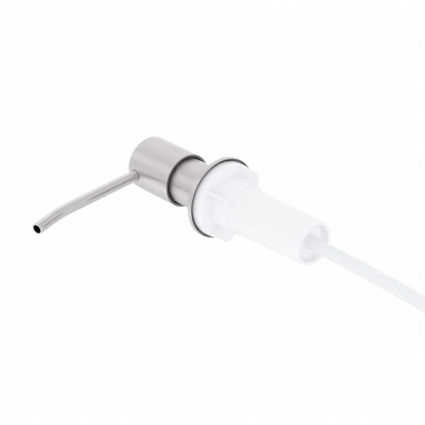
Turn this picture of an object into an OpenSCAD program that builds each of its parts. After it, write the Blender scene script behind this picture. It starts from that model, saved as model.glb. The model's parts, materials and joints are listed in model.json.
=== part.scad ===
// Deck-mounted soap pump dispenser: a push-down swivel head on a piston pump.
// Origin: centre of the base flange's underside. +Z is the pump axis, head up.
// The spout points along -Y.

/* [Head] */
// Outer diameter of the metal cap
cap_d = 33.5; // [32.4:0.1:38]
// Height of the metal cap
cap_h = 36.5; // [34:0.5:42]
// Height of the cap's open rim above the deck, at rest
cap_rim_z = 31.7; // [30:0.1:33]
// Sheet thickness of the cap
cap_wall = 1.3; // [1:0.1:1.5]
// Rounding of the cap's top edge
cap_edge = 0.8; // [0.4:0.1:1.5]

/* [Spout] */
// Outer diameter of the spout tube
spout_d = 7; // [6:0.1:7.2]
// Wall of the spout tube
spout_wall = 0.75; // [0.5:0.05:1]
// Depth of the spout's centreline under the cap's top
spout_depth = 6.7; // [6.5:0.1:7.5]
// Straight run of the spout, measured from the pump axis
spout_run = 66.7; // [40:0.1:90]
// Angle of the downward bend
spout_bend = 15; // [5:1:60]
// Bend radius of the centreline
spout_bend_r = 62.5; // [30:0.5:90]
// Straight length after the bend, up to the mouth
spout_tail = 12.3; // [5:0.1:25]

/* [Base flange and neck] */
// Outer diameter of the flange
flange_d = 50; // [48:0.5:60]
// Height of the flange's rim band
flange_h = 3; // [2.6:0.1:5]
// Thickness of the flange's rim wall
rim_wall = 0.5; // [0.5:0.1:1]
// Thickness of the flange's top plate
plate_t = 1.2; // [1:0.1:1.4]
// Outer diameter of the neck
neck_d = 28.7; // [28.3:0.1:29.5]
// Height of the neck above the deck
neck_h = 35; // [34:0.5:36]
// Wall of the neck
neck_wall = 1; // [0.8:0.1:1.1]
// Fillet between the neck and the flange
neck_fillet = 2.6; // [1:0.1:4]

/* [Guide collar] */
// Diameter of the collar's disc
disc_d = 46.2; // [45:0.1:46.6]
// Depth of the disc's lower face under the deck
disc_drop = 5.5; // [4:0.1:7]
// Rounding of the disc's lower edge
disc_edge = 1.6; // [0.5:0.1:2]
// Number of centring ribs
rib_count = 4; // [3:1:8]
// Diameter over the ribs
rib_d = 44.2; // [40:0.1:45]
// Thickness of a rib
rib_t = 2; // [1.2:0.1:3]
// Angle of the first rib, turned from the spout's direction
rib_angle = 40.5; // [0:0.5:90]
// Outer diameter of the hub
hub_d = 30.8; // [30.6:0.1:32]
// Depth of the hub's lower end under the deck
hub_drop = 20.6; // [18:0.1:24]

/* [Barrel] */
// Outer diameter of the barrel where it leaves the hub
barrel_top_d = 28.4; // [28:0.1:28.6]
// Outer diameter of the barrel at its open end
barrel_end_d = 26.7; // [25:0.1:28]
// Wall of the barrel
barrel_wall = 2.2; // [1.5:0.1:2.6]
// Depth of the barrel's open end under the deck
barrel_drop = 75.1; // [74:0.1:78]
// Depth of the recess in the barrel's open end
barrel_recess = 4.5; // [3:0.1:7]
// Thickness of the web that closes the barrel round the dip tube
barrel_web = 1.5; // [1:0.1:2]

/* [Pump] */
// Working travel of the head
stroke = 14.5; // [10:0.5:14.5]
// Bore of the pump cylinder
bore_d = 12; // [11.6:0.1:12.4]
// Wall of the pump cylinder
cylinder_wall = 1.2; // [0.9:0.1:1.3]
// Depth of the pumping chamber's floor under the deck
floor_drop = 47; // [46:0.5:51]
// Outer diameter of the hollow piston stem
stem_d = 7.5; // [7.3:0.1:7.7]
// Bore of the piston stem
stem_bore_d = 4.4; // [4:0.1:4.6]
// Diameter of the outlet valve ball
outlet_ball_d = 4.8; // [4.6:0.1:4.9]
// Lift of the outlet valve ball
outlet_lift = 1.5; // [0.8:0.1:1.5]
// Diameter of the inlet valve ball
inlet_ball_d = 5; // [4.8:0.1:5.2]
// Lift of the inlet valve ball
inlet_lift = 1.2; // [0.8:0.1:1.3]
// Outer diameter of the return spring
spring_d = 10; // [9.8:0.1:10.6]
// Wire diameter of the return spring
spring_wire = 0.9; // [0.7:0.05:0.9]
// Turns of the return spring
spring_turns = 7; // [5:1:9]

/* [Dip tube] */
// Outer diameter of the dip tube
dip_d = 7.8; // [7:0.1:8]
// Wall of the dip tube
dip_wall = 0.9; // [0.6:0.1:1.2]
// Length of the dip tube below the barrel's end
dip_free = 140; // [60:5:180]
// Radius of the tube's slight natural curl
dip_curl_r = 2200; // [2000:50:5000]
// Direction of the curl, turned from the spout's direction
dip_curl_angle = -46.6; // [-180:0.1:180]

/* [Hidden] */

$fn = 96;
cut = 1;              // how far a cutting shape runs past the face it cuts
run_gap = 0.05;       // radial clearance of a running fit
slip_gap = 0.1;       // clearance of a loose fit or a stop
seat_gap = 0.05;      // clearance of a ball over its conical seat
ring_wire_r = 0.7;    // section radius of both O-rings
groove_half = 0.8;    // half height of an O-ring groove
pass_gap = 0.15;      // clearance round the curled dip tube where it passes the barrel's web

cap_r = cap_d / 2;
cap_in_r = cap_r - cap_wall;
cap_top_z = cap_rim_z + cap_h;
cap_ceiling_z = cap_top_z - cap_wall;

spout_r = spout_d / 2;
spout_bore_r = spout_r - spout_wall;
spout_z = cap_top_z - spout_depth;
spout_inner_y = 3.3;  // distance of the spout's inner end from the axis
spout_ring_y = 9.6;   // distance of the spout's O-ring from the axis
tip_step = 0.03;      // the sized tip is this much thicker outside and narrower inside
tip_lap = 0.3;        // how far the tip reaches back into the bend

neck_r = neck_d / 2;
neck_in_r = neck_r - neck_wall;
flange_r = flange_d / 2;
flange_hollow_h = flange_h - plate_t;
flange_edge = 0.5;
foot_edge = 0.1;
gasket_t = 0.7;

disc_r = disc_d / 2;
disc_top_z = flange_hollow_h - gasket_t;
disc_wall = 1.7;
collar_web = 1.8;
hub_r = hub_d / 2;
hub_chamfer = 0.9;
spigot_r = neck_in_r - slip_gap;
spigot_wall = 1.3;
spigot_top_z = 22;
collar_bore_r = 7.6;

barrel_top_r = barrel_top_d / 2;
barrel_end_r = barrel_end_d / 2;
barrel_seat_z = -disc_drop - 2;      // top of the barrel, in the hub's socket
barrel_taper_z = -hub_drop - 1.4;    // where the barrel's taper starts
web_low_z = -barrel_drop + barrel_recess;

bore_r = bore_d / 2;
cylinder_r = bore_r + cylinder_wall;
housing_gasket_t = 1;
cylinder_flange_z = spigot_top_z + housing_gasket_t;
cylinder_flange_t = 2;
cylinder_flange_r = 11;
cylinder_top_z = cylinder_flange_z + cylinder_flange_t;
floor_z = -floor_drop;
inlet_hole_r = 1.7;
inlet_cone_r = 3.4;
nose_r = 5.4;
nose_shoulder_z = floor_z - 5;            // top of the dip tube's socket
nose_end_z = nose_shoulder_z - 8.5;       // open end of the socket

stem_r = stem_d / 2;
stem_bore_r = stem_bore_d / 2;
stem_low_z = -20;
guide_low_z = 14;                         // lower end of the stem guide's tube
guide_top_z = neck_h + 1;                 // top of the stem guide's lip
press_gap = 0.9;                          // left over the lip when the head is pressed
insert_low_z = guide_top_z + stroke + press_gap;
stem_ring_z = insert_low_z + 2.4;
stem_top_z = spout_z - spout_r - 0.7;
outlet_seat_z = stem_top_z - 8.8;
wiper_t = 1.3;                            // radial thickness of the stem's wiper
wiper_pocket = 1.8;                       // depth of the wiper's pocket
outlet_web = 1;
outlet_hole_r = 1.6;
outlet_chamber_r = 2.95;
outlet_ball_r = outlet_ball_d / 2;
outlet_ball_z = outlet_seat_z - outlet_hole_r + (outlet_ball_r + seat_gap) * sqrt(2);
outlet_cage_t = 1.5;

seal_h = 8;
seal_shoulder_t = 1.5;
retainer_flange_t = 2;
spring_top_z = stem_low_z - retainer_flange_t;
spring_r = spring_d / 2 - spring_wire / 2;

cage_base_t = 1.2;
cage_relief = 0.4;    // height of the widened mouth over the inlet's cone
spring_low_z = floor_z + cage_base_t;
inlet_ball_r = inlet_ball_d / 2;
inlet_ball_z = floor_z - inlet_cone_r + (inlet_ball_r + seat_gap) * sqrt(2);
crown_in_r = 3;
crown_r = 3.8;

dip_r = dip_d / 2;
dip_bore_r = dip_r - dip_wall;

// A plain ring between two radii and two heights
module ring(r_out, r_in, z0, z1) {
    translate([0, 0, z0]) difference() {
        cylinder(r = r_out, h = z1 - z0);
        translate([0, 0, -cut]) cylinder(r = r_in, h = z1 - z0 + 2 * cut);
    }
}

// A plain disc or rod between two heights
module rod(r, z0, z1) {
    translate([0, 0, z0]) cylinder(r = r, h = z1 - z0);
}

// A cone between two heights
module cone(r0, r1, z0, z1) {
    translate([0, 0, z0]) cylinder(r1 = r0, r2 = r1, h = z1 - z0);
}

// A rod along -Y at the spout's height
module side_rod(r, y0, y1) {
    translate([0, -y0, spout_z]) rotate([90, 0, 0]) cylinder(r = r, h = y1 - y0);
}

// The corner that a rounded edge loses, in a profile. dx and dz point out of the corner.
module lost_corner(x, z, r, dx, dz) {
    difference() {
        translate([x - (dx > 0 ? r : cut), z - (dz > 0 ? r : cut)]) square(r + cut);
        translate([x - dx * r, z - dz * r]) circle(r = r, $fn = 48);
    }
}

// ---------- Head ----------

// Drawn metal cap with a closed top, an open rim and a side hole for the spout
module pump_cap() {
    rim_edge = 0.3;
    color([0.78, 0.77, 0.77]) difference() {
        rotate_extrude() difference() {
            translate([0, cap_rim_z]) square([cap_r, cap_h]);
            translate([-cut, cap_rim_z - cut]) square([cap_in_r + cut, cap_h - cap_wall + cut]);
            lost_corner(cap_r, cap_top_z, cap_edge, 1, 1);
            lost_corner(cap_r, cap_rim_z, rim_edge, 1, -1);
        }
        side_rod(spout_r + run_gap, cap_in_r - cut, cap_r + cut);
    }
}

// Moulded core of the head: stem socket, spout bore, webs and the skirt pressed in the cap
module head_insert() {
    hub = 8;
    boss = 5.4;
    skirt_t = 1.3;
    web_t = 1.4;
    skirt_low_z = insert_low_z + 2.6;
    disc_z = spout_z + spout_r + 0.2;
    color([0.93, 0.93, 0.92]) difference() {
        union() {
            rod(hub, insert_low_z, cap_ceiling_z);
            rod(cap_in_r, disc_z, cap_ceiling_z);
            ring(cap_in_r, cap_in_r - skirt_t, skirt_low_z, disc_z + cut);
            intersection() {
                side_rod(boss, 0, cap_in_r + cut);
                rod(cap_in_r, insert_low_z, cap_ceiling_z);
            }
            for (a = [45:90:315]) rotate([0, 0, a])
                translate([hub - cut, -web_t / 2, skirt_low_z])
                    cube([cap_in_r - hub, web_t, disc_z - skirt_low_z + cut]);
        }
        rod(stem_r + run_gap, insert_low_z - cut, stem_top_z + slip_gap);
        rod(stem_bore_r, insert_low_z, spout_z);
        side_rod(spout_r, spout_inner_y, cap_r + cut);
        side_rod(stem_bore_r, -cut, spout_inner_y + cut);
        rod(stem_r + run_gap + 2 * ring_wire_r, stem_ring_z - groove_half, stem_ring_z + groove_half);
        side_rod(spout_r + 2 * ring_wire_r, spout_ring_y - groove_half, spout_ring_y + groove_half);
    }
}

// Bent metal spout: a straight run, a gentle downward bend and a straight sized tip
module spout_tube() {
    color([0.80, 0.79, 0.79]) difference() {
        spout_path(spout_r, tip_step, 0);
        spout_path(spout_bore_r, -tip_step, cut);
    }
}

// Solid rod along the spout's centreline, longer by over at both ends. The tip's radius
// differs by step, and it starts a little before the bend ends.
module spout_path(r, step, over) {
    side_rod(r, spout_inner_y - over, spout_run);
    translate([0, -spout_run, spout_z - spout_bend_r]) {
        rotate([0, -90, 180]) rotate_extrude(angle = spout_bend, $fn = 360)
            translate([spout_bend_r, 0]) circle(r = r, $fn = 48);
        rotate([spout_bend, 0, 0]) translate([0, tip_lap, spout_bend_r]) rotate([90, 0, 0])
            cylinder(r = r + step, h = spout_tail + tip_lap + over);
    }
}

// Seal between the spout and the head's core
module spout_o_ring() {
    color([0.12, 0.12, 0.12]) translate([0, -spout_ring_y, spout_z]) rotate([90, 0, 0])
        o_ring(spout_r + ring_wire_r);
}

// Seal that the stem turns in
module stem_o_ring() {
    color([0.12, 0.12, 0.12]) translate([0, 0, stem_ring_z])
        o_ring(stem_r + run_gap + ring_wire_r);
}

module o_ring(r) {
    rotate_extrude() translate([r, 0]) circle(r = ring_wire_r, $fn = 24);
}

// ---------- Plunger ----------

// Hollow stem with the outlet seat near its top, a stop collar and a shoulder for the seal
module piston_stem() {
    stop_t = 1.9;
    stop_r = bore_r - 0.8;
    shoulder_r = bore_r - 1.2;
    cone_h = outlet_chamber_r - outlet_hole_r;
    color([0.92, 0.92, 0.90]) difference() {
        union() {
            rod(stem_r, stem_low_z, stem_top_z);
            rod(stop_r, guide_low_z - slip_gap - stop_t, guide_low_z - slip_gap);
            rod(shoulder_r, stem_low_z + seal_h, stem_low_z + seal_h + seal_shoulder_t);
        }
        rod(stem_bore_r, stem_low_z - cut, outlet_seat_z - outlet_web);
        rod(outlet_hole_r, outlet_seat_z - outlet_web - cut, outlet_seat_z + cut);
        cone(outlet_hole_r, outlet_chamber_r, outlet_seat_z, outlet_seat_z + cone_h);
        rod(outlet_chamber_r, outlet_seat_z + cone_h, stem_top_z + cut);
    }
}

// Check ball that opens when the head is pushed
module outlet_ball() {
    color([0.75, 0.76, 0.78]) translate([0, 0, outlet_ball_z]) sphere(r = outlet_ball_r);
}

// Slotted plug with a pin that limits the outlet ball's lift
module outlet_cage() {
    plug_z = stem_top_z - outlet_cage_t;
    pin_r = 0.8;
    slot = [1.4, 1.2];
    pin_low_z = outlet_ball_z + outlet_ball_r + outlet_lift + slip_gap;
    color([0.90, 0.90, 0.88]) difference() {
        union() {
            rod(outlet_chamber_r, plug_z, stem_top_z);
            rod(pin_r, pin_low_z, stem_top_z);
        }
        for (a = [0:90:270]) rotate([0, 0, a])
            translate([pin_r + 0.2, -slot[1] / 2, plug_z - cut])
                cube([slot[0], slot[1], outlet_cage_t + 2 * cut]);
    }
}

// Piston seal with a lip at each end
module piston_seal() {
    waist_r = bore_r - 0.7;
    lip = 1.2;
    lip_r = bore_r - run_gap;
    top_z = stem_low_z + seal_h;
    color([0.86, 0.88, 0.90]) difference() {
        union() {
            rod(lip_r, stem_low_z, stem_low_z + lip);
            cone(lip_r, waist_r, stem_low_z + lip, stem_low_z + 2 * lip);
            rod(waist_r, stem_low_z + lip, top_z - lip);
            cone(waist_r, lip_r, top_z - 2 * lip, top_z - lip);
            rod(lip_r, top_z - lip, top_z);
        }
        rod(stem_r, stem_low_z - cut, top_z + cut);
    }
}

// Plug that holds the seal on the stem and centres the spring's upper end
module piston_retainer() {
    bore = 1.4;
    pilot_h = 2;
    color([0.90, 0.90, 0.88]) difference() {
        union() {
            rod(stem_bore_r, stem_low_z - cut, stem_low_z + seal_h);
            rod(bore_r - 0.7, spring_top_z, stem_low_z);
            rod(crown_r, spring_top_z - pilot_h, spring_top_z + cut);
        }
        rod(bore, spring_top_z - pilot_h - cut, stem_low_z + seal_h + cut);
    }
}

// ---------- Fixed body ----------

// Metal base: thin flange with a hollow underside, filleted into the neck
module neck_flange() {
    color([0.78, 0.77, 0.77]) rotate_extrude() difference() {
        translate([neck_in_r, 0]) square([flange_r - neck_in_r, neck_h]);
        translate([neck_in_r - cut, -cut])
            square([flange_r - rim_wall - neck_in_r + cut, flange_hollow_h + cut]);
        translate([neck_r + neck_fillet, flange_h]) square([flange_r, neck_h]);
        translate([neck_r, flange_h + neck_fillet]) square([flange_r, neck_h]);
        translate([neck_r + neck_fillet, flange_h + neck_fillet]) circle(r = neck_fillet, $fn = 48);
        lost_corner(flange_r, flange_h, flange_edge, 1, 1);
        lost_corner(flange_r, 0, foot_edge, 1, -1);
    }
}

// Flat seal between the collar's disc and the flange
module flange_gasket() {
    color([0.16, 0.16, 0.16]) ring(disc_r - 0.5, spigot_r + 0.3, disc_top_z, flange_hollow_h);
}

// Moulded collar: disc under the flange, spigot up the neck, hub and centring ribs
module guide_collar() {
    spigot_roof = 1.5;
    color([0.95, 0.95, 0.96]) {
        difference() {
            union() {
                rotate_extrude() difference() {
                    translate([0, -disc_drop]) square([disc_r, disc_top_z + disc_drop]);
                    lost_corner(disc_r, -disc_drop, disc_edge, 1, -1);
                }
                rod(spigot_r, -disc_drop, spigot_top_z);
                cone(hub_r - hub_chamfer, hub_r, -hub_drop, -hub_drop + hub_chamfer);
                rod(hub_r, -hub_drop + hub_chamfer, -disc_drop + cut);
                ribs();
            }
            rod(collar_bore_r, -hub_drop - cut, spigot_top_z + cut);
            rod(barrel_top_r, -hub_drop - cut, barrel_seat_z);
            rod(spigot_r - spigot_wall, collar_web - disc_drop, spigot_top_z - spigot_roof);
            ring(disc_r - disc_wall, spigot_r, collar_web - disc_drop, disc_top_z + cut);
        }
    }
}

// Upright ribs round the hub, with a rounded outer corner and a sloping lower edge
module ribs() {
    rib_r = rib_d / 2;
    corner = 2;
    slope = 1.2;
    low_z = -hub_drop + 1.2;
    for (i = [0:rib_count - 1]) rotate([0, 0, rib_angle - 90 + i * 360 / rib_count])
        translate([0, rib_t / 2, 0]) rotate([90, 0, 0]) linear_extrude(rib_t) difference() {
            union() {
                polygon([[hub_r - cut, cut - disc_drop], [rib_r, cut - disc_drop],
                         [rib_r, low_z + slope + corner], [rib_r - corner, low_z + slope],
                         [hub_r - cut, low_z]]);
                translate([rib_r - corner, low_z + slope + corner]) circle(r = corner, $fn = 48);
            }
            translate([hub_r - cut, -disc_drop]) square([rib_r, 2 * cut]);
        }
}

// Long tapered sleeve round the pump cylinder, with a web that steadies the dip tube
module barrel_sleeve() {
    end_edge = 0.5;
    color([0.95, 0.95, 0.96]) {
        difference() {
            union() {
                rod(barrel_top_r, barrel_taper_z, barrel_seat_z);
                cone(barrel_end_r, barrel_top_r, -barrel_drop + end_edge, barrel_taper_z);
                cone(barrel_end_r - end_edge, barrel_end_r, -barrel_drop, -barrel_drop + end_edge);
            }
            rod(barrel_top_r - barrel_wall, barrel_taper_z, barrel_seat_z + cut);
            cone(barrel_end_r - barrel_wall, barrel_top_r - barrel_wall, -barrel_drop - cut, barrel_taper_z);
        }
        ring(barrel_end_r - barrel_wall / 2, dip_r + pass_gap, web_low_z, web_low_z + barrel_web);
    }
}

// Closure at the neck's top: lip on the neck, skirt inside it and a guide tube for the stem
module stem_guide() {
    lip_r = neck_r - 0.2;
    tube_r = bore_r - slip_gap;
    web_top_z = cylinder_top_z + 2.2;
    color([0.93, 0.93, 0.92]) difference() {
        union() {
            rod(tube_r, guide_low_z, guide_top_z);
            rod(spigot_r, spigot_top_z, web_top_z);
            ring(spigot_r, cylinder_flange_r, cylinder_top_z, guide_top_z);
            ring(lip_r, cylinder_flange_r, neck_h, guide_top_z);
        }
        rod(stem_r + run_gap, guide_low_z - cut, guide_top_z + cut);
        rod(stem_r + wiper_t, guide_top_z - wiper_pocket, guide_top_z + cut);
        ring(cylinder_flange_r, tube_r, spigot_top_z - cut, cylinder_top_z);
    }
}

// Soft ring in the closure that wipes the stem
module stem_wiper() {
    color([0.20, 0.20, 0.21])
        ring(stem_r + wiper_t, stem_r + run_gap, guide_top_z - wiper_pocket, guide_top_z - slip_gap);
}

// Seal under the cylinder's flange
module housing_gasket() {
    color([0.20, 0.20, 0.21]) ring(cylinder_flange_r, collar_bore_r, spigot_top_z, cylinder_flange_z);
}

// Pump cylinder: flange, bore, inlet seat and the nose with the dip tube's socket
module pump_cylinder() {
    nose_top_z = nose_shoulder_z + 2;
    color([0.95, 0.95, 0.95]) difference() {
        union() {
            rod(cylinder_flange_r, cylinder_flange_z, cylinder_top_z);
            rod(cylinder_r, nose_top_z + cylinder_r - nose_r, cylinder_top_z);
            cone(nose_r, cylinder_r, nose_top_z, nose_top_z + cylinder_r - nose_r);
            rod(nose_r, nose_end_z, nose_top_z);
        }
        rod(bore_r, floor_z, cylinder_top_z + cut);
        cone(inlet_hole_r, inlet_cone_r, floor_z + inlet_hole_r - inlet_cone_r, floor_z);
        rod(inlet_hole_r, nose_shoulder_z - cut, floor_z + inlet_hole_r - inlet_cone_r);
        rod(dip_r + run_gap, nose_end_z - cut, nose_shoulder_z);
    }
}

// Compression spring between the ball cage and the piston, with closed end turns
module return_spring() {
    steps = 16;
    sides = 6;
    wire_r = spring_wire / 2;
    rings = spring_turns * steps;
    low = spring_low_z + wire_r;
    rise = spring_top_z - wire_r - low;
    closed = spring_wire / rise;
    function lift(t) = let (n = spring_turns, a = t * n)
        a < 1 ? a * closed
        : a > n - 1 ? 1 - (n - a) * closed
        : closed + (a - 1) * (1 - 2 * closed) / (n - 2);
    points = [for (i = [0:rings]) let (a = 360 * i / steps) for (k = [0:sides - 1])
        let (b = 360 * k / sides, r = spring_r + wire_r * cos(b))
            [r * cos(a), r * sin(a), low + rise * lift(i / rings) + wire_r * sin(b)]];
    walls = [for (i = [0:rings - 1]) for (k = [0:sides - 1]) let (m = (k + 1) % sides)
        [i * sides + k, i * sides + m, (i + 1) * sides + m, (i + 1) * sides + k]];
    ends = [[for (k = [sides - 1:-1:0]) k], [for (k = [0:sides - 1]) rings * sides + k]];
    color([0.70, 0.71, 0.73]) polyhedron(points = points, faces = concat(walls, ends), convexity = 10);
}

// Cage over the inlet ball, with a base ring that the spring stands on
module ball_cage() {
    roof_t = 1.2;
    roof_hole_r = 1.1;
    slot_w = 1.6;
    ceiling_z = inlet_ball_z + inlet_ball_r + inlet_lift + slip_gap;
    slot_low_z = spring_low_z + 0.6;
    color([0.90, 0.90, 0.88]) difference() {
        union() {
            rod(bore_r - slip_gap, floor_z, spring_low_z);
            rod(crown_r, spring_low_z - cut, ceiling_z + roof_t);
        }
        rod(crown_in_r, floor_z - cut, ceiling_z);
        rod(inlet_cone_r, floor_z - cut, floor_z + cage_relief);
        rod(roof_hole_r, ceiling_z - cut, ceiling_z + roof_t + cut);
        for (a = [0:90:270]) rotate([0, 0, a])
            translate([crown_in_r - cut, -slot_w / 2, slot_low_z])
                cube([2 * cut, slot_w, ceiling_z - slot_low_z]);
    }
}

// Check ball that opens when the head rises
module inlet_ball() {
    color([0.75, 0.76, 0.78]) translate([0, 0, inlet_ball_z]) sphere(r = inlet_ball_r);
}

// Suction tube: one long, slightly curled arc that starts straight in the nose's socket
module dip_tube() {
    length = nose_shoulder_z + barrel_drop + dip_free;
    arc = length / dip_curl_r * 180 / PI;
    color([0.93, 0.94, 0.95]) rotate([0, 0, dip_curl_angle - 90])
        translate([dip_curl_r, 0, nose_shoulder_z]) rotate([-90, 0, 0]) rotate([0, 0, 180 - arc])
            rotate_extrude(angle = arc, $fn = 1440) translate([dip_curl_r, 0]) difference() {
                circle(r = dip_r, $fn = 48);
                circle(r = dip_bore_r, $fn = 48);
            }
}

pump_cap();
head_insert();
spout_tube();
spout_o_ring();
stem_o_ring();
piston_stem();
outlet_ball();
outlet_cage();
piston_seal();
piston_retainer();
neck_flange();
flange_gasket();
guide_collar();
barrel_sleeve();
stem_guide();
stem_wiper();
housing_gasket();
pump_cylinder();
return_spring();
ball_cage();
inlet_ball();
dip_tube();
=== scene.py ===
import json
import math

import bmesh
import bpy
from mathutils import Matrix, Vector


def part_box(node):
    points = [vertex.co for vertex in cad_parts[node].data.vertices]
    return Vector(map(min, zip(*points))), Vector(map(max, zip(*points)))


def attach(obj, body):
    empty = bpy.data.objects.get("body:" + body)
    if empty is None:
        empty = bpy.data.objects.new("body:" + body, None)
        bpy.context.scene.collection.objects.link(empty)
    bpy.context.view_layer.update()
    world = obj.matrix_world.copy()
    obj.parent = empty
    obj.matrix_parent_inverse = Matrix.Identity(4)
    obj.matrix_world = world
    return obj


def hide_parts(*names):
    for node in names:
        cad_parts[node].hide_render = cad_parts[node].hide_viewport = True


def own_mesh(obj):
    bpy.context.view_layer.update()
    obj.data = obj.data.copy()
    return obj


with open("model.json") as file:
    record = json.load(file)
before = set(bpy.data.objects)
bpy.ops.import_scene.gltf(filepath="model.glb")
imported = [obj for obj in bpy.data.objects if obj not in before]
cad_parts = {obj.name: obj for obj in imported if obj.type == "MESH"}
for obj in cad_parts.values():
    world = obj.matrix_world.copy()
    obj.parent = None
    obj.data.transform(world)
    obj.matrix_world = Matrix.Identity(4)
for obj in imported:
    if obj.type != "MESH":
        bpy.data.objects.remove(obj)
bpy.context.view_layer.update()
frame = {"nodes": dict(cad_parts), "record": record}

# A deck-mounted soap pump. The CAD frame gives every place and outer size. The visible
# shells are rebuilt here with finer curves, rounded edges and moulded fillets.

MM = 0.001
SIDES = 192            # facets round a turned piece
TUBE_SIDES = 64        # facets round a thin tube
SHARP_ANGLE = 32       # degrees: a steeper edge shades as a crease
MERGE_GAP = 1e-7       # metres: points closer than this are one
NEAR = 0.02 * MM       # a face this close to a surface lies on it
UP = Vector((0, 0, 1))
HEAD, BASE = "head", "base"


# ---------------------------------------------------------------- sizes from the frame

def radius(node):
    """Half a CAD node's size along X, for a piece turned about the pump axis."""
    low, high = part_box(node)
    return (high.x - low.x) / 2


def low_z(node):
    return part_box(node)[0].z


def high_z(node):
    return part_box(node)[1].z


DECK_Z = low_z("neck_flange")
CAP_R = radius("pump_cap")
NECK_H = high_z("neck_flange")
FLANGE_R = radius("neck_flange")
DISC_R = radius("guide_collar")
BARREL_R = radius("barrel_sleeve")
BARREL_Z = low_z("barrel_sleeve")
SPOUT_R = radius("spout_tube")


# ---------------------------------------------------------------- mesh helpers

def arc(x, z, r, start, end, steps=6):
    """Points on an arc about (x, z), from one angle to another in degrees."""
    angles = [math.radians(start + (end - start) * i / steps) for i in range(steps + 1)]
    return [(x + r * math.cos(a), z + r * math.sin(a)) for a in angles]


def shade(mesh):
    """Smooth shading, with creases at the sharp edges."""
    mesh.shade_smooth()
    mesh.set_sharp_from_angle(angle=math.radians(SHARP_ANGLE))


def finish_mesh(bm, name):
    """Turns a bmesh into a shaded object."""
    bmesh.ops.remove_doubles(bm, verts=bm.verts, dist=MERGE_GAP)
    bmesh.ops.recalc_face_normals(bm, faces=bm.faces)
    mesh = bpy.data.meshes.new(name)
    bm.to_mesh(mesh)
    bm.free()
    shade(mesh)
    piece = bpy.data.objects.new(name, mesh)
    bpy.context.scene.collection.objects.link(piece)
    return piece


def upright(s):
    """The frame of a straight vertical path: its point at height s, and two cross directions."""
    return Vector((0, 0, s)), Vector((1, 0, 0)), Vector((0, 1, 0))


def ring(bm, centre, across, up, r, sides):
    """New points round a centre, in the plane of two cross directions."""
    angles = [math.tau * k / sides for k in range(sides)]
    return [bm.verts.new(centre + r * (math.cos(a) * across + math.sin(a) * up)) for a in angles]


def revolved(rings, place=upright, sides=SIDES):
    """A closed bmesh through rings of (radius, distance along the path). The last ring joins
    the first. A ring of no radius is a pole."""
    bm = bmesh.new()
    loops = []
    for r, s in rings:
        centre, across, up = place(s)
        if r < MERGE_GAP:
            loops.append([bm.verts.new(centre)])
        else:
            loops.append(ring(bm, centre, across, up, r, sides))
    pairs = list(zip(loops, loops[1:]))
    if len(loops[0]) > 1:
        pairs.append((loops[-1], loops[0]))
    for one, two in pairs:
        for k in range(sides):
            m = (k + 1) % sides
            corners = [one[k % len(one)], one[m % len(one)], two[m % len(two)], two[k % len(two)]]
            unique = list(dict.fromkeys(corners))
            if len(unique) > 2:
                bm.faces.new(unique)
    return bm


def turned(name, profile, **options):
    """A finished piece made by turning a profile about a path."""
    return finish_mesh(revolved(profile, **options), name)


def boolean(target, tool, operation):
    """Joins or cuts target with tool, applies the result and deletes the tool."""
    step = target.modifiers.new(operation.lower(), "BOOLEAN")
    step.operation, step.solver, step.object = operation, "EXACT", tool
    bpy.context.view_layer.update()
    solid = target.evaluated_get(bpy.context.evaluated_depsgraph_get())
    mesh = bpy.data.meshes.new_from_object(solid)
    target.modifiers.clear()
    old = target.data
    target.data = mesh
    bpy.data.meshes.remove(old)
    bpy.data.objects.remove(tool)
    shade(mesh)


def dress(piece, body, slot, materials, *nodes):
    """Gives a new piece its body, its materials and the nodes it stands for. The slot argument is
    not used.
    """
    for material in materials:
        piece.data.materials.append(material)
    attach(piece, body)
    if nodes:
        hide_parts(*nodes)


def paint(piece, index, chosen):
    """Gives every face whose centre passes the test the material at that index."""
    for face in piece.data.polygons:
        if chosen(face.center):
            face.material_index = index


# ---------------------------------------------------------------- shader helpers

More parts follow.
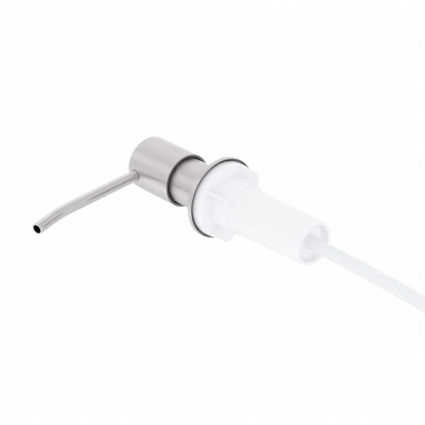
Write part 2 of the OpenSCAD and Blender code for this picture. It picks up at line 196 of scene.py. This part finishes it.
class Shader:
    """A Principled material whose constant values are set on the shader's own sockets."""

    def __init__(self, name, **values):
        self.material = bpy.data.materials.new(name)
        self.material.use_nodes = True
        self.tree = self.material.node_tree
        self.shader = self.tree.nodes["Principled BSDF"]
        for socket, value in values.items():
            self.shader.inputs[socket.replace("_", " ")].default_value = value
        self.coords = self.tree.nodes.new("ShaderNodeTexCoord").outputs["Object"]

    def noise(self, stretch, scale=1.0, detail=4.0, roughness=0.5):
        """Noise in the object's own metres, stretched by a scale for each axis."""
        mapping = self.tree.nodes.new("ShaderNodeMapping")
        mapping.inputs["Scale"].default_value = stretch
        self.tree.links.new(self.coords, mapping.inputs["Vector"])
        node = self.tree.nodes.new("ShaderNodeTexNoise")
        node.inputs["Scale"].default_value = scale
        node.inputs["Detail"].default_value = detail
        node.inputs["Roughness"].default_value = roughness
        self.tree.links.new(mapping.outputs["Vector"], node.inputs["Vector"])
        return node.outputs["Fac"]

    def spread(self, source, low, high, start=0.3, end=0.7):
        """Maps a noise between two values."""
        node = self.tree.nodes.new("ShaderNodeMapRange")
        limits = {"From Min": start, "From Max": end, "To Min": low, "To Max": high}
        for socket, value in limits.items():
            node.inputs[socket].default_value = value
        self.tree.links.new(source, node.inputs["Value"])
        return node.outputs["Result"]

    def blend(self, source, one, two):
        """A colour between two colours."""
        node = self.tree.nodes.new("ShaderNodeMix")
        node.data_type = "RGBA"
        node.inputs["A"].default_value = (*one, 1)
        node.inputs["B"].default_value = (*two, 1)
        self.tree.links.new(source, node.inputs["Factor"])
        return node.outputs["Result"]

    def drive(self, socket, source):
        """Links a varying value to a socket of the shader."""
        self.tree.links.new(source, self.shader.inputs[socket])

    def tint(self, source, one, two):
        """Mottles the base colour between two colours."""
        self.drive("Base Color", self.blend(self.spread(source, 0, 1), one, two))

    def bump(self, *layers):
        """Bumps of (height source, depth in metres), one over another."""
        normal = None
        for source, depth in layers:
            node = self.tree.nodes.new("ShaderNodeBump")
            node.inputs["Strength"].default_value = 1.0
            node.inputs["Distance"].default_value = depth
            self.tree.links.new(source, node.inputs["Height"])
            if normal:
                self.tree.links.new(normal, node.inputs["Normal"])
            normal = node.outputs["Normal"]
        self.tree.links.new(normal, self.shader.inputs["Normal"])

    def along(self, axis, turn):
        """Lays the anisotropic streaks round an axis, turned by a share of a full turn."""
        node = self.tree.nodes.new("ShaderNodeTangent")
        node.direction_type = "RADIAL"
        node.axis = axis
        self.tree.links.new(node.outputs["Tangent"], self.shader.inputs["Tangent"])
        self.shader.inputs["Anisotropic Rotation"].default_value = turn


# ---------------------------------------------------------------- materials

def brushed_steel():
    """Satin stainless steel, brushed round the axis, so highlights draw out along it."""
    s = Shader("satin_steel", Metallic=1.0, Anisotropic=0.92)
    s.along("Z", 0.25)
    fine = s.noise((60, 60, 9000), detail=3)
    broad = s.noise((25, 25, 900), detail=5)
    cloud = s.noise((140, 140, 60), detail=3)
    s.tint(broad, (0.635, 0.622, 0.630), (0.685, 0.672, 0.680))
    s.drive("Roughness", s.spread(cloud, 0.27, 0.30))
    s.bump((fine, 0.002 * MM), (broad, 0.001 * MM))
    return s.material


def tube_steel():
    """Finely polished tube steel, with faint draw marks."""
    s = Shader("tube_steel", Metallic=1.0)
    fine = s.noise((1500, 40, 1500), detail=3)
    cloud = s.noise((90, 25, 90), detail=3)
    s.tint(cloud, (0.66, 0.65, 0.655), (0.70, 0.69, 0.695))
    s.drive("Roughness", s.spread(cloud, 0.13, 0.20))
    s.bump((fine, 0.0008 * MM), (cloud, 0.008 * MM))
    return s.material


def painted_shade_steel():
    """Unbrushed steel painted dark as painted shade, for the cap rim's underside, the inside of
    the neck and the flange's hollow underside: duller and darker.
    """
    s = Shader("painted_shade_steel", Metallic=1.0)
    cloud = s.noise((500, 500, 500), detail=5)
    # The dark base colour is painted shade.
    s.tint(cloud, (0.24, 0.238, 0.238), (0.30, 0.297, 0.295))
    s.drive("Roughness", s.spread(cloud, 0.35, 0.5))
    s.bump((cloud, 0.02 * MM))
    return s.material


def painted_shade_bore():
    """The inside of the spout, painted near black as painted shade."""
    s = Shader("spout_painted_shade", Metallic=0.6)
    cloud = s.noise((900, 900, 900), detail=5)
    # The near-black base colour is painted shade.
    s.tint(cloud, (0.010, 0.010, 0.010), (0.03, 0.029, 0.028))
    s.drive("Roughness", s.spread(cloud, 0.45, 0.65))
    s.bump((cloud, 0.02 * MM))
    return s.material


def white_plastic(name, light, dark, **values):
    """Moulded white plastic with a fine spark texture and slow flow marks."""
    s = Shader(name, IOR=1.47, Subsurface_Radius=(1, 1, 1), Subsurface_Scale=1.5 * MM, **values)
    spark = s.noise((2600, 2600, 2600), detail=3)
    flow = s.noise((120, 120, 40), detail=4)
    s.tint(flow, light, dark)
    s.drive("Roughness", s.spread(flow, 0.36, 0.46))
    s.bump((spark, 0.006 * MM), (flow, 0.03 * MM))
    return s.material


def dip_plastic():
    """Extruded natural polyethylene: satin, slightly see-through, with draw lines."""
    s = Shader("dip_plastic", IOR=1.49)
    lines = s.noise((700, 700, 12), detail=3)
    cloud = s.noise((150, 150, 50), detail=4)
    s.tint(cloud, (0.900, 0.900, 0.918), (0.885, 0.886, 0.905))
    s.drive("Roughness", s.spread(cloud, 0.36, 0.46))
    s.bump((lines, 0.001 * MM), (cloud, 0.004 * MM))
    return s.material


def rubber():
    """Black sealing rubber with a matt, slightly dusty skin."""
    s = Shader("seal_rubber", IOR=1.5)
    grain = s.noise((3000, 3000, 3000), detail=4)
    dust = s.noise((260, 260, 260), detail=5)
    s.tint(dust, (0.018, 0.018, 0.019), (0.045, 0.045, 0.046))
    s.drive("Roughness", s.spread(dust, 0.6, 0.85))
    s.bump((grain, 0.01 * MM))
    return s.material


def bright_metal(name, low, high):
    """Drawn wire or a ground ball: bright, with faint marks."""
    s = Shader(name, Metallic=1.0)
    marks = s.noise((1500, 1500, 4000), detail=4)
    s.tint(marks, (0.56, 0.57, 0.58), (0.66, 0.67, 0.68))
    s.drive("Roughness", s.spread(marks, low, high))
    s.bump((marks, 0.003 * MM))
    return s.material


STEEL = brushed_steel()
TUBE_STEEL = tube_steel()
PAINTED_SHADE_STEEL = painted_shade_steel()
PAINTED_BORE_SHADE = painted_shade_bore()
WHITE = white_plastic("white_plastic", (0.952, 0.950, 0.962), (0.942, 0.940, 0.953))
NATURAL = white_plastic("natural_plastic", (0.955, 0.955, 0.95), (0.935, 0.935, 0.93),
                        Subsurface_Weight=0.3)
SEAL = white_plastic("seal_plastic", (0.80, 0.83, 0.86), (0.74, 0.77, 0.81),
                     Subsurface_Weight=0.3)
DIP = dip_plastic()
RUBBER = rubber()
WIRE = bright_metal("spring_wire", 0.22, 0.34)
BALL = bright_metal("valve_ball", 0.06, 0.12)

SLOT_MATERIALS = {
    "brushed_steel": STEEL, "polished_tube": TUBE_STEEL, "white_plastic": WHITE,
    "natural_plastic": NATURAL, "seal_plastic": SEAL, "translucent_tube": DIP,
    "black_rubber": RUBBER, "spring_steel": WIRE, "ball_steel": BALL,
}


def dress_cad_nodes():
    """Every CAD node takes the material of its record slot."""
    for part in frame["record"]["subparts"]:
        materials = frame["nodes"][part["node"]].data.materials
        materials.clear()
        materials.append(SLOT_MATERIALS[part["material_slot"]])


# ---------------------------------------------------------------- head

SPOUT_RUN = 66.7 * MM      # straight length from the pump axis
SPOUT_BEND = math.radians(15)
SPOUT_BEND_R = 62.5 * MM
SPOUT_TAIL = 12.3 * MM     # straight length past the bend
SPOUT_INNER = 3.3 * MM     # distance of its inner end from the pump axis
SPOUT_WALL = 0.75 * MM
SPOUT_Z = high_z("spout_tube") - SPOUT_R


def spout_place(s):
    """The spout's centreline at distance s from the pump axis, and its cross directions."""
    bend_end = SPOUT_RUN + SPOUT_BEND * SPOUT_BEND_R
    turn = min(max((s - SPOUT_RUN) / SPOUT_BEND_R, 0), SPOUT_BEND)
    point = Vector((0, -min(s, SPOUT_RUN), SPOUT_Z))
    point.y -= SPOUT_BEND_R * math.sin(turn)
    point.z -= SPOUT_BEND_R * (1 - math.cos(turn))
    forward = Vector((0, -math.cos(turn), -math.sin(turn)))
    point += forward * max(s - bend_end, 0)
    across = Vector((1, 0, 0))
    return point, across, across.cross(forward)


def cap_shell():
    """The drawn cap: rounded top edge, thin rolled rim, and the hole for the spout. One more
    ring, part way in on the top, keeps its shading even."""
    wall, edge, lip, corner = 1.3 * MM, 0.8 * MM, 0.15 * MM, 0.4 * MM
    low, top = low_z("pump_cap"), high_z("pump_cap")
    inner, ceiling = CAP_R - wall, top - wall
    profile = [(0, ceiling)]
    profile += arc(inner - corner, ceiling - corner, corner, 90, 0)
    profile += arc(inner + lip, low + lip, lip, 180, 270, 4)
    profile += arc(CAP_R - lip, low + lip, lip, 270, 360, 5)
    profile += arc(CAP_R - edge, top - edge, edge, 0, 90, 8)
    profile += [(0.55 * CAP_R, top), (0, top)]
    shell = turned("cap_shell", profile)
    hole_r, start, end = SPOUT_R + 0.2 * MM, 0.5 * CAP_R, 1.5 * CAP_R
    hole = turned("hole", [(0, start), (hole_r, start), (hole_r, end), (0, end)],
                  place=spout_place, sides=TUBE_SIDES)
    boolean(shell, hole, "DIFFERENCE")
    dress(shell, HEAD, "brushed_steel", (STEEL, PAINTED_SHADE_STEEL), "pump_cap")
    # The rim's underside takes the dark steel: painted shade in the gap round the neck.
    paint(shell, 1, lambda c: c.z < low + NEAR)


def spout():
    """The bent spout: one thin-walled tube with a rounded mouth."""
    end = SPOUT_RUN + SPOUT_BEND * SPOUT_BEND_R + SPOUT_TAIL
    bore = SPOUT_R - SPOUT_WALL
    lip = 0.12 * MM
    stations, samples = 40, 200
    outside = [(SPOUT_R, SPOUT_INNER + (end - lip - SPOUT_INNER) * i / stations)
               for i in range(stations)]
    mouth = arc(SPOUT_R - lip, end - lip, lip, 0, 90, 5)
    mouth += arc(bore + lip, end - lip, lip, 90, 180, 5)
    inside = [(bore, s) for _, s in reversed(outside)]
    tube = turned("spout_pipe", outside + mouth + inside, place=spout_place, sides=TUBE_SIDES)
    dress(tube, HEAD, "polished_tube", (TUBE_STEEL, PAINTED_BORE_SHADE), "spout_tube")
    centres = [spout_place(end * i / samples)[0] for i in range(samples + 1)]
    # The bore takes the near-black painted shade.
    paint(tube, 1, lambda c: min((c - p).length for p in centres) < bore + NEAR)


# ---------------------------------------------------------------- base

def neck_base():
    """Neck and flange in one turned shell, with the fillet and the hollow underside."""
    wall, rim, plate = 1.0 * MM, 0.5 * MM, 1.2 * MM
    neck_r = 14.35 * MM
    band, fillet, edge, foot = 3.0 * MM, 2.6 * MM, 0.5 * MM, 0.12 * MM
    brim, root, corner = 0.3 * MM, 0.1 * MM, 0.5 * MM
    inner = neck_r - wall
    hollow = DECK_Z + band - plate
    profile = arc(FLANGE_R - foot, DECK_Z + foot, foot, 270, 360, 4)
    profile += arc(FLANGE_R - edge, DECK_Z + band - edge, edge, 0, 90, 6)
    profile += arc(neck_r + fillet, DECK_Z + band + fillet, fillet, 270, 180, 12)
    profile += arc(neck_r - brim, NECK_H - brim, brim, 0, 90, 4)
    profile += arc(inner + brim, NECK_H - brim, brim, 90, 180, 4)
    profile += arc(inner + root, hollow + root, root, 180, 270, 3)
    profile += arc(FLANGE_R - rim - corner, hollow - corner, corner, 90, 0, 5)
    profile += arc(FLANGE_R - rim + foot, DECK_Z + foot, foot, 180, 270, 3)
    base = turned("neck_base", profile)
    dress(base, BASE, "brushed_steel", (STEEL, PAINTED_SHADE_STEEL), "neck_flange")
    # The inside of the neck and the flange's hollow underside take the dark steel: painted shade
    # in the gaps round the neck and the collar.
    paint(base, 1, lambda c: c.xy.length < inner + NEAR
          or c.z < hollow + root and c.xy.length < FLANGE_R - rim + NEAR)


DISC_Z = -5.5 * MM         # the disc's underside
HUB_R = 15.4 * MM
HUB_Z = -20.6 * MM         # the hub's lower end
RIB_COUNT = 4
RIB_R = 22.1 * MM
RIB_HALF = 1.0 * MM        # half a rib's thickness
RIB_LOW = HUB_Z + 1.2 * MM
RIB_TURN = math.radians(40.5)


def hollowing(distance, r):
    """How far a concave fillet of radius r stands out at a distance from its root."""
    gap = max(r - distance, 0)
    return r - math.sqrt(max(r * r - gap * gap, 0))


def rib(angle):
    """One upright rib: rounded outer edges and a fillet where it meets the hub and disc."""
    columns, rows = 22, 30
    corner, slope, fillet, edge = 2.2 * MM, 1.2 * MM, 1.0 * MM, 0.3 * MM
    in_hub, in_disc = 0.6 * MM, 0.5 * MM
    root, top = HUB_R - in_hub, DISC_Z + in_disc
    bm = bmesh.new()
    sheets = []
    for side in (1, -1):
        grid = []
        for j in range(rows + 1):
            line = []
            for i in range(columns + 1):
                along = i / columns
                r = root + (RIB_R - root) * along
                low = RIB_LOW + slope * along
                over = r - (RIB_R - corner)
                if over > 0:
                    low = RIB_LOW + slope + corner - math.sqrt(max(corner ** 2 - over ** 2, 0))
                z = low + (top - low) * (j / rows)
                half = RIB_HALF + hollowing(r - HUB_R, fillet) + hollowing(DISC_Z - z, fillet)
                rim = min(RIB_R - r, z - low)
                half -= edge - math.sqrt(max(edge ** 2 - max(edge - rim, 0) ** 2, 0))
                line.append(bm.verts.new((r, side * half, z)))
            grid.append(line)
        sheets.append(grid)
        for j in range(rows):
            for i in range(columns):
                bm.faces.new((grid[j][i], grid[j][i + 1], grid[j + 1][i + 1], grid[j + 1][i]))
    front, back = sheets
    border = [(0, i) for i in range(columns)] + [(j, columns) for j in range(rows)]
    border += [(rows, i) for i in range(columns, 0, -1)] + [(j, 0) for j in range(rows, 0, -1)]
    for (j, i), (m, n) in zip(border, border[1:] + border[:1]):
        bm.faces.new((front[j][i], front[m][n], back[m][n], back[j][i]))
    bmesh.ops.rotate(bm, verts=bm.verts, matrix=Matrix.Rotation(angle - math.pi / 2, 3, "Z"))
    return finish_mesh(bm, "rib")


def collar():
    """The moulded collar: disc, spigot, hub and four ribs, joined into one skin."""
    top, rim, web = 1.1 * MM, 1.7 * MM, 1.8 * MM
    spigot_r, spigot_top, bore = 13.25 * MM, high_z("guide_collar"), 7.6 * MM
    seat_r, seat_z = BARREL_R, DISC_Z - 2 * MM
    edge, hub_root, hub_edge = 1.6 * MM, 1.0 * MM, 0.9 * MM
    spigot_edge, spigot_root, rim_edge = 0.4 * MM, 0.5 * MM, 0.3 * MM
    profile = arc(DISC_R - edge, DISC_Z + edge, edge, 360, 270, 10)
    profile += arc(HUB_R + hub_root, DISC_Z - hub_root, hub_root, 90, 180, 6)
    profile += arc(HUB_R - hub_edge, HUB_Z + hub_edge, hub_edge, 360, 285, 8)
    profile += [(seat_r, HUB_Z), (seat_r, seat_z), (bore, seat_z), (bore, spigot_top)]
    profile += arc(spigot_r - spigot_edge, spigot_top - spigot_edge, spigot_edge, 90, 0, 4)
    profile += arc(spigot_r + spigot_root, DISC_Z + web + spigot_root, spigot_root, 180, 270, 4)
    profile += [(DISC_R - rim, DISC_Z + web), (DISC_R - rim, top)]
    profile += arc(DISC_R - rim_edge, top - rim_edge, rim_edge, 90, 0, 4)
    piece = turned("collar_body", profile)
    for i in range(RIB_COUNT):
        boolean(piece, rib(RIB_TURN + math.tau * i / RIB_COUNT), "UNION")
    dress(piece, BASE, "white_plastic", (WHITE,), "guide_collar")


def barrel():
    """The long tapered sleeve: rounded lip, shallow recess and a web round the dip tube."""
    end_r, wall, lip = 13.35 * MM, 2.2 * MM, 0.6 * MM
    recess, web, corner, hole_r = 4.5 * MM, 1.5 * MM, 2.2 * MM, 3.92 * MM
    straight, top = 1.4 * MM, high_z("barrel_sleeve")
    taper_z, web_z, inner = HUB_Z - straight, BARREL_Z + recess, end_r - wall
    profile = arc(end_r - lip, BARREL_Z + lip, lip, 270, 360, 6)
    profile += [(BARREL_R, taper_z), (BARREL_R, top)]
    profile += [(BARREL_R - wall, top), (BARREL_R - wall, taper_z)]
    profile += [(inner, web_z + web), (hole_r, web_z + web), (hole_r, web_z)]
    profile += arc(inner - corner, web_z - corner, corner, 90, 0, 6)
    profile += arc(inner + lip, BARREL_Z + lip, lip, 180, 270, 6)
    piece = turned("barrel_skin", profile)
    dress(piece, BASE, "white_plastic", (WHITE,), "barrel_sleeve")


def cylinder():
    """The pump cylinder: flange, bore, ball seat, and a nose with the dip tube's socket."""
    flange_r, flange, bore, wall = radius("pump_cylinder"), 2 * MM, 6.0 * MM, 1.2 * MM
    low, top = low_z("pump_cylinder"), high_z("pump_cylinder")
    nose_r, nose_edge, cone_low, cone_high = 5.4 * MM, 0.5 * MM, 2 * MM, 3.8 * MM
    socket_r, bevel = 3.95 * MM, 0.4 * MM
    seat_r, seat_depth, port_r = 3.4 * MM, 1.7 * MM, 1.7 * MM
    shoulder, floor = DIP_TOP, low_z("ball_cage")
    outer = bore + wall
    profile = arc(nose_r - nose_edge, low + nose_edge, nose_edge, 270, 360, 5)
    profile += [(nose_r, shoulder + cone_low), (outer, shoulder + cone_high)]
    profile += [(outer, top - flange), (flange_r, top - flange), (flange_r, top), (bore, top)]
    profile += [(bore, floor), (seat_r, floor), (port_r, floor - seat_depth), (port_r, shoulder)]
    profile += [(socket_r, shoulder), (socket_r, low + bevel), (socket_r + bevel, low)]
    piece = turned("cylinder_body", profile)
    dress(piece, BASE, "natural_plastic", (NATURAL,), "pump_cylinder")


DIP_TOP = high_z("dip_tube")
DIP_CURL_R = 2200 * MM
DIP_CURL_TURN = math.radians(-46.6 - 90)
DIP_CUT = math.radians(30)     # slant of the cut at its free end


def dip_place(s):
    """The dip tube's slightly curled centreline, at distance s from its top."""
    a = s / DIP_CURL_R
    lean = Vector((math.cos(DIP_CURL_TURN), math.sin(DIP_CURL_TURN), 0))
    axis_point = Vector((0, 0, DIP_TOP - DIP_CURL_R * math.sin(a)))
    point = axis_point + lean * DIP_CURL_R * (1 - math.cos(a))
    forward = lean * math.sin(a) - Vector((0, 0, math.cos(a)))
    across = (lean - forward * lean.dot(forward)).normalized()
    return point, across, across.cross(forward)


def dip():
    """The suction tube, with a slanted cut at its free end."""
    r, wall, length = 3.9 * MM, 0.9 * MM, DIP_TOP - low_z("dip_tube")
    stations, soft, cut_run = 48, 0.12 * MM, 8 * MM
    slope = math.tan(DIP_CUT)
    end = length - slope * r
    marks = [(end - cut_run) * i / stations for i in range(stations + 1)]
    rings = [(r, s) for s in marks] + [(r, end - soft), (r - soft, end)]
    rings += [(r - wall + soft, end), (r - wall, end - soft)]
    rings += [(r - wall, s) for s in reversed(marks)]
    piece = turned("dip_pipe", rings, place=dip_place, sides=TUBE_SIDES)
    tip, across, up = dip_place(end)
    forward = up.cross(across)
    for vertex in piece.data.vertices:
        share = ((vertex.co - tip).dot(forward) + cut_run) / cut_run
        if share > 0:
            vertex.co += forward * slope * min(share, 1) * (vertex.co - tip).dot(across)
    dress(piece, BASE, "translucent_tube", (DIP,), "dip_tube")


def spring():
    """The return spring: round wire, closed end turns."""
    low, high = low_z("return_spring"), high_z("return_spring")
    wire, turns, steps, sides = 0.45 * MM, 7, 40, 12
    coil_r = radius("return_spring") - wire
    rise = high - low - 2 * wire
    closed = 2 * wire / rise
    bm = bmesh.new()
    rings = []
    for i in range(turns * steps + 1):
        t = i / steps
        if t < 1:
            share = t * closed
        elif t > turns - 1:
            share = 1 - (turns - t) * closed
        else:
            share = closed + (t - 1) * (1 - 2 * closed) / (turns - 2)
        out = Vector((math.cos(math.tau * t), math.sin(math.tau * t), 0))
        centre = out * coil_r + Vector((0, 0, low + wire + rise * share))
        rings.append(ring(bm, centre, out, UP, wire, sides))
    for one, two in zip(rings, rings[1:]):
        for k in range(sides):
            m = (k + 1) % sides
            bm.faces.new((one[k], one[m], two[m], two[k]))
    bm.faces.new(rings[0])
    bm.faces.new(rings[-1])
    piece = finish_mesh(bm, "spring_coil")
    dress(piece, BASE, "spring_steel", (WIRE,), "return_spring")
    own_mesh(piece)


# ---------------------------------------------------------------- camera, light and stage

CAMERA_AIM = Vector((-6.7, -7.7, 1.2)) * MM
CAMERA_AZIMUTH, CAMERA_ELEVATION = 43.4, -41.3     # degrees
CAMERA_ROLL = math.radians(-62.9)
CAMERA_DISTANCE = 780.4 * MM
CAMERA_LENS = 112.0

LIGHT_BOUNCES = 16     # enough for light to fill the white hollows
LIGHT_AZIMUTH = 43     # the camera's side
BACKDROP = (0.992, 0.992, 0.992, 1)
STUDIO_LEVEL = 0.66    # what reflections see between the panels

# Each soft panel's azimuth, elevation and half width in degrees, and its strength. One with no
# elevation is upright and of full height. A negative strength is a dark panel.
PANELS = (
    (43, None, 24, 0.17), (-56, None, 58, 0.20), (176, None, 124, 0.45), (11, None, 137, 0.23),
    (127, 0, 14, -0.50), (138, 17, 11, -0.70), (-33, 14, 16, 0.60), (-119, None, 34, -0.22),
)


def towards(azimuth, elevation):
    """The direction at an azimuth and an elevation in degrees. Azimuth 0 is along -Y."""
    a, e = math.radians(azimuth), math.radians(elevation)
    return Vector((math.sin(a) * math.cos(e), -math.cos(a) * math.cos(e), math.sin(e)))


def make_camera():
    """A long lens below the deck, turned so that the pump lies across the picture."""
    back = towards(CAMERA_AZIMUTH, CAMERA_ELEVATION)
    level = UP.cross(back).normalized()
    upward = back.cross(level)
    right = level * math.cos(CAMERA_ROLL) + upward * math.sin(CAMERA_ROLL)
    up = back.cross(right)
    camera = bpy.data.objects.new("camera", bpy.data.cameras.new("camera"))
    camera.data.lens = CAMERA_LENS
    camera.data.clip_start, camera.data.clip_end = 0.01, 50
    camera.matrix_world = Matrix((right, up, back)).transposed().to_4x4()
    camera.location = CAMERA_AIM + back * CAMERA_DISTANCE
    bpy.context.scene.collection.objects.link(camera)
    bpy.context.scene.camera = camera


def make_world():
    """A white studio. The camera sees plain white, and reflections see soft panels, some dark."""
    world = bpy.data.worlds.new("studio")
    bpy.context.scene.world = world
    world.use_nodes = True
    tree = world.node_tree
    tree.nodes.clear()
    link = tree.links.new
    direction = tree.nodes.new("ShaderNodeTexCoord").outputs["Generated"]
    flatten = tree.nodes.new("ShaderNodeVectorMath")
    flatten.operation = "MULTIPLY"
    flatten.inputs[1].default_value = (1, 1, 0)
    link(direction, flatten.inputs[0])
    unit = tree.nodes.new("ShaderNodeVectorMath")
    unit.operation = "NORMALIZE"
    link(flatten.outputs[0], unit.inputs[0])
    level = None
    for azimuth, elevation, half_width, strength in PANELS:
        dot = tree.nodes.new("ShaderNodeVectorMath")
        dot.operation = "DOT_PRODUCT"
        dot.inputs[1].default_value = towards(azimuth, elevation or 0)
        link(unit.outputs[0] if elevation is None else direction, dot.inputs[0])
        soft = tree.nodes.new("ShaderNodeMapRange")
        soft.interpolation_type = "SMOOTHSTEP"
        soft.inputs["From Min"].default_value = math.cos(math.radians(half_width))
        soft.inputs["From Max"].default_value = 1
        soft.inputs["To Min"].default_value = 0
        soft.inputs["To Max"].default_value = strength
        link(dot.outputs["Value"], soft.inputs["Value"])
        total = tree.nodes.new("ShaderNodeMath")
        total.operation = "ADD"
        link(soft.outputs["Result"], total.inputs[0])
        if level is None:
            total.inputs[1].default_value = STUDIO_LEVEL
        else:
            link(level, total.inputs[1])
        level = total.outputs[0]
    lit = tree.nodes.new("ShaderNodeBackground")
    lit.inputs["Color"].default_value = (1, 1, 1, 1)
    link(level, lit.inputs["Strength"])
    seen = tree.nodes.new("ShaderNodeBackground")
    seen.inputs["Strength"].default_value = 1.0
    seen.inputs["Color"].default_value = BACKDROP
    pick = tree.nodes.new("ShaderNodeMixShader")
    link(tree.nodes.new("ShaderNodeLightPath").outputs["Is Camera Ray"], pick.inputs[0])
    link(lit.outputs[0], pick.inputs[1])
    link(seen.outputs[0], pick.inputs[2])
    link(pick.outputs[0], tree.nodes.new("ShaderNodeOutputWorld").inputs["Surface"])


def make_light(name, elevation, distance, size, watts):
    """A square soft light that faces the pump, and that neither camera nor reflections see."""
    data = bpy.data.lights.new(name, "AREA")
    data.size, data.energy = size, watts
    lamp = bpy.data.objects.new(name, data)
    back = towards(LIGHT_AZIMUTH, elevation)
    lamp.location = back * distance
    lamp.rotation_mode = "QUATERNION"
    lamp.rotation_quaternion = (-back).to_track_quat("-Z", "Y")
    lamp.visible_camera = False
    lamp.visible_glossy = False
    bpy.context.scene.collection.objects.link(lamp)


def make_floor():
    """A plain pale round floor, far enough below that the camera looks up past it."""
    reach, drop = 17.0, 1.6
    bm = bmesh.new()
    bmesh.ops.create_circle(bm, cap_ends=True, segments=SIDES, radius=reach)
    floor = finish_mesh(bm, "floor")
    floor.location.z = -drop
    s = Shader("floor_paint", Roughness=0.9)
    s.tint(s.noise((3, 3, 3)), (0.80, 0.80, 0.80), (0.82, 0.82, 0.82))
    floor.data.materials.append(s.material)


# ---------------------------------------------------------------- build

scene = bpy.context.scene
scene.view_settings.view_transform = "Standard"
scene.cycles.max_bounces = LIGHT_BOUNCES
scene.cycles.diffuse_bounces = LIGHT_BOUNCES
scene.cycles.glossy_bounces = LIGHT_BOUNCES
make_camera()
make_world()
make_light("overhead_light", elevation=80, distance=2.0, size=2.0, watts=3.0)
make_light("low_light", elevation=-80, distance=0.55, size=0.9, watts=0.85)
make_floor()
dress_cad_nodes()
cap_shell()
spout()
neck_base()
collar()
barrel()
cylinder()
dip()
spring()
